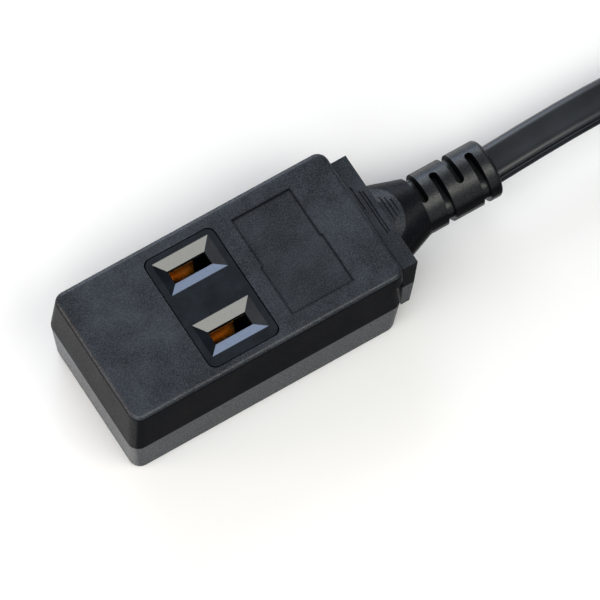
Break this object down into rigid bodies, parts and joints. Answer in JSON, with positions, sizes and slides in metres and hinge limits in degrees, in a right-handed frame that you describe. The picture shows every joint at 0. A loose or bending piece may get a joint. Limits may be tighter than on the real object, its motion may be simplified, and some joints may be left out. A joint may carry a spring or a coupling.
{
  "type": "type a cord socket",
  "caption": "Black in-line cord socket with flat parallel blade slots, collar and slotted strain relief, on a coiled flat twin cord that ends in a plug.",
  "frame": {"origin": "middle of the socket's resting face, half way along the socket from its free end to the cord exit", "axes": "+X along the socket towards the cord, +Z out of the slotted face, +Y across; metres"},
  "size_m": [0.1731, 0.0973, 0.02],
  "materials": {
    "socket_body": "soft PVC, fine satin grain",
    "socket_insert": "hard moulded plastic, fine grain",
    "carrier_plastic": "hard moulded plastic",
    "contact_brass": "bright spring brass",
    "wire_sleeve": "PVC wire insulation",
    "copper_strands": "bare copper strands",
    "cord_sheath": "flexible PVC, satin",
    "plug_body": "soft PVC, fine satin grain",
    "plug_core": "hard moulded plastic",
    "blade_brass": "bright flat brass"
  },
  "bodies": {
    "root": {"socket_moulding": "socket_body", "slot_insert": "socket_insert", "carrier_base": "carrier_plastic", "contact_back": "contact_brass", "contact_front": "contact_brass", "wire_back": "wire_sleeve", "wire_front": "wire_sleeve", "strands_back": "copper_strands", "strands_front": "copper_strands", "cord_run": "cord_sheath", "cord_coil": "cord_sheath", "cord_lead": "cord_sheath", "plug_moulding": "plug_body", "plug_bridge": "plug_core", "plug_blade_back": "blade_brass", "plug_blade_front": "blade_brass", "plug_wire_back": "wire_sleeve", "plug_wire_front": "wire_sleeve", "plug_strands_back": "copper_strands", "plug_strands_front": "copper_strands"}
  },
  "joints": []
}
